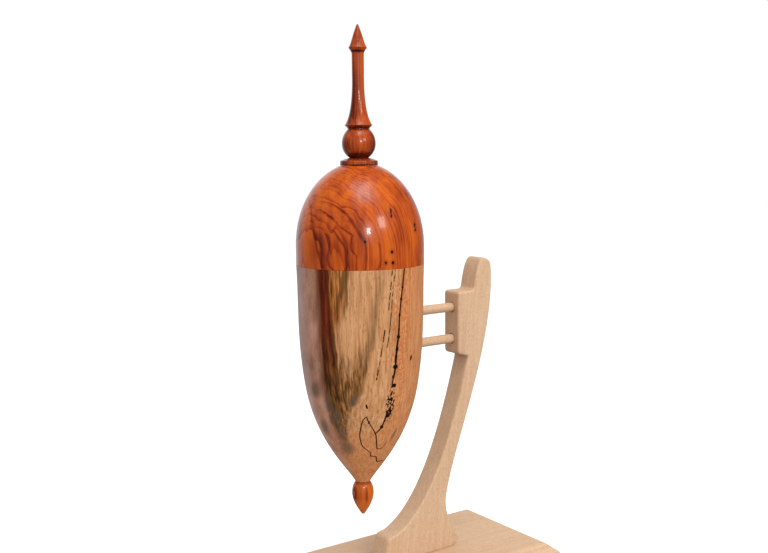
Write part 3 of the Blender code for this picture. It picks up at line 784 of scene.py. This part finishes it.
def yew_rings(node, bent, pith, spacing, bold):
    """Rings about the pith: each darkens towards its late wood and ends at once, and some are bolder."""
    flat = node("VectorMath", bent, (1, 1, 0), operation="MULTIPLY")
    from_pith = node("VectorMath", flat, (*pith, 0), operation="DISTANCE", out="Value")
    ring = node("Math", node("Math", from_pith, 1 / spacing, operation="MULTIPLY"), operation="FRACT")
    ended = node("MapRange", ring, 0.93, 1.0, **SMOOTH)
    late = node("Math", node("Math", ring, 1.7, operation="POWER"), ended, operation="SUBTRACT")
    years = node("Math", from_pith, 0.45, operation="MULTIPLY")
    named = {"W": years, "Scale": 1.0, "Detail": 2.0}
    strength = node("TexNoise", named=named, noise_dimensions="1D", out=0)
    return overlap(node, late, node("MapRange", strength, 0.38, 0.66, 0.18 * bold, bold))


def polished_yew(name, centre, pith, spacing, ramp, knots=(), calm=1.0, red=0.35, bold=1.0, lean=0.0,
                 painted_shade=(), deep=0.42, gloss=0.3, stripe=(1.8, 0.13), flames=()):
    """Yew heartwood, turned and polished: orange wood with red-brown growth rings, and a clear gloss.

    The eye sees rings that run up the flanks and arch over the dome, because their pith stands off to one
    side, and pin knots. The tone along the ramp is a sum of rings, red patches, fibres, stripes (width,
    strength), flames, which are soft lines (width, points), and spots of painted shade as deep as said,
    darker where shade falls on the turning.
    A calm under 1 straightens the rings, and lean tips the grain by so many degrees.
    """
    look, node = new_look(name)
    place = in_wood(node, centre, (0, 0, SHOW_TURN))
    grain = in_wood(node, centre, (0, math.radians(lean), SHOW_TURN))
    bent = warped(node, grain, (26, 90, 8.0 * calm), (7, 70, 3.2 * calm), (2.5, 9, 0.3 * calm))
    fibres = figure(node, grain, 0.3, 9, 2.0)
    stripes = figure(node, grain, stripe[0], 60, 3.0, 8.0)
    fibre_depth = 0.03 + 0.04 * calm
    tones = [yew_rings(node, bent, pith, spacing, bold),
             node("MapRange", figure(node, bent, 14, 26, 3.0, 4.0), 0.35, 0.68, 0.0, red),
             node("MapRange", fibres, 0.3, 0.7, -fibre_depth, fibre_depth),
             node("MapRange", stripes, 0.3, 0.7, -stripe[1], stripe[1])]
    if flames:
        swayed = warped(node, place, (6, 12, 3.0), (2.5, 9, 0.8))
        across, height = (node("SeparateXYZ", swayed, out=k) for k in (0, 2))
        flame = most(node, *(drawn(node, across, height, points, width, 0.9) for width, points in flames))
        tones.append(overlap(node, flame, facing(node, place), 0.42))
    # painted shade: the tone darkens towards each spot's middle, as deep as said
    if painted_shade:
        off = spots(node, place, painted_shade)
        tones.append(node("MapRange", off, 1.3, 0.2, 0.0, deep, **SMOOTH))
    tone = functools.reduce(lambda a, b: node("Math", a, b, operation="ADD"), tones)
    tint = node("ValToRGB", tone, stops=ramp)
    if knots:
        off = spots(node, warped(node, place, (2.0, 2.0, 0.5)), knots)
        front = facing(node, place)
        tint = stained(node, tint, overlap(node, node("MapRange", off, 3.0, 1.0), front), "#6A240E", 0.45)
        tint = stained(node, tint, overlap(node, node("MapRange", off, 1.2, 0.75), front), "#200A06")
    roughness = node("MapRange", stripes, 0.3, 0.7, 0.33 - 0.4 * gloss, 0.41 - 0.4 * gloss)
    finish_look(node, tint, roughness, fibres, 0.004 * calm, Coat_Weight=gloss, Coat_Roughness=0.06,
                Specular_IOR_Level=0.3)
    return look


def pale_beech(name, centre, turn, ring=6.0):
    """Plain steamed beech, planed, sanded and sealed: pinkish-beige, with beech's short brown flecks.

    The eye sees a dull, even surface with soft growth bands, which keeps a little of its fibre.
    """
    look, node = new_look(name)
    place = in_wood(node, centre, turn)
    bent = warped(node, place, (40, 120, 6.0), (9, 50, 1.0))
    rings = node("Math", node("SeparateXYZ", bent, out=0), 1 / ring, operation="MULTIPLY")
    late = node("MapRange", node("Math", rings, operation="FRACT"), 0.85, 1.0)
    streaks = figure(node, bent, 2.0, 60, 4.0)
    fibres = figure(node, place, 0.3, 8, 2.0)
    tint = node("ValToRGB", streaks, stops=[(0.28, "#B69270"), (0.50, "#BB9979"), (0.72, "#C0A082")])
    tint = stained(node, tint, late, "#A67C58", 0.07)
    flecks = node("MapRange", figure(node, place, 0.45, 2.8, 1.0, 11.0), 0.59, 0.69)
    tint = stained(node, tint, flecks, "#7E5636", 0.30)
    mottle = node("Math", fibres, figure(node, place, 0.9, 1.3, 1.0, 23.0), operation="ADD")
    mottle = node("MapRange", mottle, 0.7, 1.3, 0.90, 1.09)
    tint = node("VectorMath", tint, mottle, operation="MULTIPLY")
    finish_look(node, tint, node("MapRange", streaks, 0.3, 0.7, 0.50, 0.62), fibres, 0.03)
    return look


def zinc_steel():
    """Zinc-plated steel, cold headed and rolled. The eye sees a bluish-white, slightly cloudy metal."""
    look, node = new_look("zinc_plated_steel")
    place = in_wood(node, screw_place("screw_front"))
    cloud = figure(node, place, 1.2, 1.2, 3.0)
    tint = node("ValToRGB", cloud, stops=[(0.3, "#B4B6B8"), (0.7, "#D2D3D2")])
    finish_look(node, tint, node("MapRange", cloud, 0.3, 0.7, 0.26, 0.42), cloud, 0.01, Metallic=1.0)
    return look


def white_sweep():
    """Matt white paper, which shows a faint grain at most."""
    look, node = new_look("white_paper")
    fibre = figure(node, in_wood(node, (0, 0, 0)), 2.0, 2.0, 2.0)
    tint = node("ValToRGB", fibre, stops=[(0.3, "#F4F4F4"), (0.7, "#F8F8F8")])
    finish_look(node, tint, 0.9, fibre, 0.01)
    return look


# -------------------------------- the pieces

# each plain board: a point in it, how its grain lies, and the width of its rings in millimetres
BEECH_UP = pale_beech("beech_arm", (BLOCK_FACE_X, 0.03, 0), (0, math.radians(6), 0))
BEECH_LEVEL = pale_beech("beech_board", (0, 0.4, 0), (math.radians(3), math.radians(90), 0), 9.0)
BEECH_PEG = pale_beech("beech_dowel", (0, 0.01, 0.1), (0, math.radians(90), 0), 5.0)
SPALTED = spalted_beech()

# the lid's figure: points are (height from the rim, place across), knots are spots
FLAMES = [(1.6, [(1, -24.0), (17, -27.6), (30, -29.8), (43, -32.4)]),
          (1.2, [(0, -17.3), (9, -20.0), (15.5, -19.3), (23, -21.4)]),
          (1.8, [(0, -9.1), (11.3, -8.5), (17.8, -11.1), (25.3, -17.0)]),
          (1.2, [(0, -2.1), (8.1, -2.0), (15.7, -6.2), (22.2, -5.1)]),
          (2.2, [(17.2, 3.0), (28.6, -3.4), (35.5, -8.7), (40.2, -15.2), (42.7, -24.7)]),
          (2.0, [(21.6, -4.5), (27.5, -12.0), (33.8, -18.6), (37.8, -25.8)]),
          (1.4, [(0, 2.8), (9.1, 4.0), (16.7, 3.0)]),
          (1.2, [(0, 10.4), (9.9, 12.7), (17.6, 10.6)])]
KNOTS = [(19.6, 36.2, 0.5, 2.2, -4), (19.9, 33.4, 0.7, 0.9, 0), (20.0, 11.1, 0.8, 1.1, 0),
         (16.1, 4.4, 0.7, 1.1, 0), (20.6, 4.2, 0.9, 1.1, 0), (35.2, 26.5, 0.5, 1.8, -4),
         (35.5, 23.6, 0.6, 0.9, 0), (3.1, 17.9, 0.9, 1.2, 0)]
# painted shade on the lid: darker towards both limbs of the dome, low on the left and high on the right
LID_PAINTED_SHADE = [(-12, 16, 22, 20, 20), (32, 42, 12, 20, -20), (-42, 18, 7, 36, 0), (43, 14, 8, 40, 0)]
LID_RAMP = [(0.0, "#B4530E"), (0.33, "#A0410C"), (0.66, "#7C2907"), (1.0, "#501204")]
YEW_LID = polished_yew("yew_polished_lid", RIM, (35, 29), 1.6, LID_RAMP, KNOTS, bold=0.58, lean=-4,
                       painted_shade=LID_PAINTED_SHADE, deep=0.26, stripe=(4.0, 0.2), flames=FLAMES)
# painted shade: dark down the left of the stem and both sides of the ball, and in every groove and under
# each overhang
FINIAL_PAINTED_SHADE = [(-6.5, 45, 9, 25, 0), (-16, 10, 12, 14, 0), (13, 13, 8, 13, 0), (0, 24.2, 30, 1.7, 0),
               (0, 6.2, 30, 3.2, 0), (0, 73.2, 30, 0.9, 0), (0, 0.2, 30, 0.7, 0)]
FINIAL_RAMP = [(0.0, "#A2440F"), (0.35, "#82300C"), (0.70, "#5A1806"), (1.0, "#380B04")]
YEW_FINIAL = polished_yew("yew_polished_finial", FINIAL_FOOT, (60, 36), 1.7, FINIAL_RAMP, calm=0.12,
                          red=0.25, bold=0.3, gloss=0.25, deep=0.7, stripe=(1.5, 0.26), painted_shade=FINIAL_PAINTED_SHADE)
# painted shade down the left of the bulb and a painted shadow line at its shoulder under the box, with a
# narrow dark streak down the bulb just right of its middle
DROP_PAINTED_SHADE = [(-6, -8, 4, 9, 0), (0, -0.2, 20, 1.4, 0), (2.5, -8, 1.2, 8, 0)]
DROP_RAMP = [(0.0, "#B65A12"), (0.40, "#9C4410"), (0.75, "#7A2C0A"), (1.0, "#521907")]
YEW_DROP = polished_yew("yew_polished_drop", DROP_SHOULDER, (30, 20), 1.6, DROP_RAMP, calm=0.2, red=0.3,
                        bold=0.5, gloss=0.2, painted_shade=DROP_PAINTED_SHADE)
STEEL = zinc_steel()

place_piece("board", base_mesh(), "stand", "base_board", BEECH_LEVEL)
place_piece("arm_board", arm_mesh(), "stand", "arm", BEECH_UP)
for screw in SCREWS:
    place_piece(screw + "_metal", screw_mesh(screw), "stand", screw, STEEL)
place_piece("body_turning", body_mesh(), "box", "body", SPALTED)
place_piece("drop_turning", drop_finial_mesh(), "box", "drop_finial", YEW_DROP)
for dowel in DOWELS:
    place_piece(dowel + "_bar", dowel_mesh(dowel), "box", dowel, BEECH_PEG)
place_piece("lid_turning", lid_mesh(), "lid", "lid", YEW_LID)
place_piece("finial_turning", finial_mesh(), "lid", "finial", YEW_FINIAL)

# -------------------------------- stage


def make_floor():
    """A wide, flat sheet at the height of the board's underside."""
    reach = 3.0
    mesh = bpy.data.meshes.new("sweep")
    corners = [(-reach, -reach), (reach, -reach), (reach, reach), (-reach, reach)]
    mesh.from_pydata([(x, y, BOARD_LOW.z) for x, y in corners], [], [(0, 1, 2, 3)])
    mesh.materials.append(white_sweep())
    sweep = bpy.data.objects.new("sweep", mesh)
    bpy.context.scene.collection.objects.link(sweep)
    sweep.visible_glossy = sweep.visible_diffuse = False


def make_light(name, kind, place, target, energy, size, **settings):
    """A light at a place, turned to its target."""
    light = bpy.data.lights.new(name, kind)
    light.energy = energy
    if kind == "AREA":
        light.shape, light.size = "SQUARE", size
    else:
        light.angle = size
    lamp = bpy.data.objects.new(name, light)
    lamp.location = place
    lamp.rotation_euler = (Vector(target) - Vector(place)).to_track_quat("-Z", "Y").to_euler()
    for key, value in settings.items():
        setattr(lamp, key, value)
    bpy.context.scene.collection.objects.link(lamp)


def make_camera():
    """A camera left of and before the object, a little above its middle and looking slightly down."""
    place = (AXIS_X - 0.3778, -0.5595, 0.3040)
    yaw, pitch, roll = math.radians(54.637), math.radians(7.035), math.radians(-0.521)
    ahead = Vector((math.cos(pitch) * math.cos(yaw), math.cos(pitch) * math.sin(yaw), -math.sin(pitch)))
    right = ahead.cross(Vector((0, 0, 1))).normalized()
    up = right.cross(ahead)
    level = math.cos(roll) * right + math.sin(roll) * up
    tall = math.cos(roll) * up - math.sin(roll) * right
    lens = bpy.data.cameras.new("camera")
    lens.sensor_width, lens.lens = 36.0, 47.956
    camera = bpy.data.objects.new("camera", lens)
    turn = Matrix((level, tall, -ahead)).transposed().to_4x4()
    camera.matrix_world = Matrix.Translation(place) @ turn
    bpy.context.scene.collection.objects.link(camera)
    bpy.context.scene.camera = camera


def light_tent():
    """White paper round a room: bright above, dimmer below, and plain white where it is seen directly.

    In the gloss the paper behind the object is bright and the room before it is dark.
    """
    tent = bpy.data.worlds.new("light_tent")
    tent.use_nodes = True
    tree = tent.node_tree
    tree.nodes.clear()
    node = functools.partial(add, tree)
    toward = node("TexCoord", out="Generated")
    height = node("SeparateXYZ", toward, out=2)
    light = node("MapRange", height, -0.55, 0.45, 0.68, 1.10, **SMOOTH)
    behind = node("VectorMath", toward, (0.32, 0.95, 0), operation="DOT_PRODUCT", out="Value")
    room = node("MapRange", behind, 0.50, 1.0, 0.09, 0.90, **SMOOTH)
    glossy = node("LightPath", out="Is Glossy Ray")
    gloss = node("Mix", named={0: glossy, 2: 1.0, 3: room}, data_type="FLOAT", out=0)
    light = node("Math", light, gloss, operation="MULTIPLY")
    seen = node("LightPath", out="Is Camera Ray")
    light = node("Mix", named={0: seen, 2: light, 3: 1.0}, data_type="FLOAT", out=0)
    node("OutputWorld", node("Background", colour("#FFFFFF"), light))
    bpy.context.scene.world = tent
    bpy.context.scene.view_settings.view_transform = "Standard"


make_floor()
make_camera()
# a soft sun from before and above lights the wood; it leaves no mirror image in the gloss
make_light("key", "SUN", (0.25, -0.75, 0.75), (0, 0, 0.15), 0.80, math.radians(40), visible_glossy=False)

# lamps that show in the lid's gloss: direction from the dome, metres away, watts and side in metres
DOME_FRONT = Vector((AXIS_X - 0.010, -0.037, RIM[2] + 0.028))
for lamp, toward, away, watts, side in (("small_lamp", (-0.306, -0.913, 0.269), 1.5, 4.5, 0.17),
                                        ("window", (0.14, -0.90, 0.40), 1.5, 3.4, 0.32),
                                        ("overhead_core", (-0.12, -0.36, 0.92), 1.2, 1.8, 0.45),
                                        ("overhead_middle", (-0.10, -0.34, 0.93), 1.2, 2.6, 0.75),
                                        ("overhead_edge", (-0.08, -0.32, 0.94), 1.2, 2.8, 1.1)):
    make_light(lamp, "AREA", DOME_FRONT + away * Vector(toward), DOME_FRONT, watts, side)
light_tent()
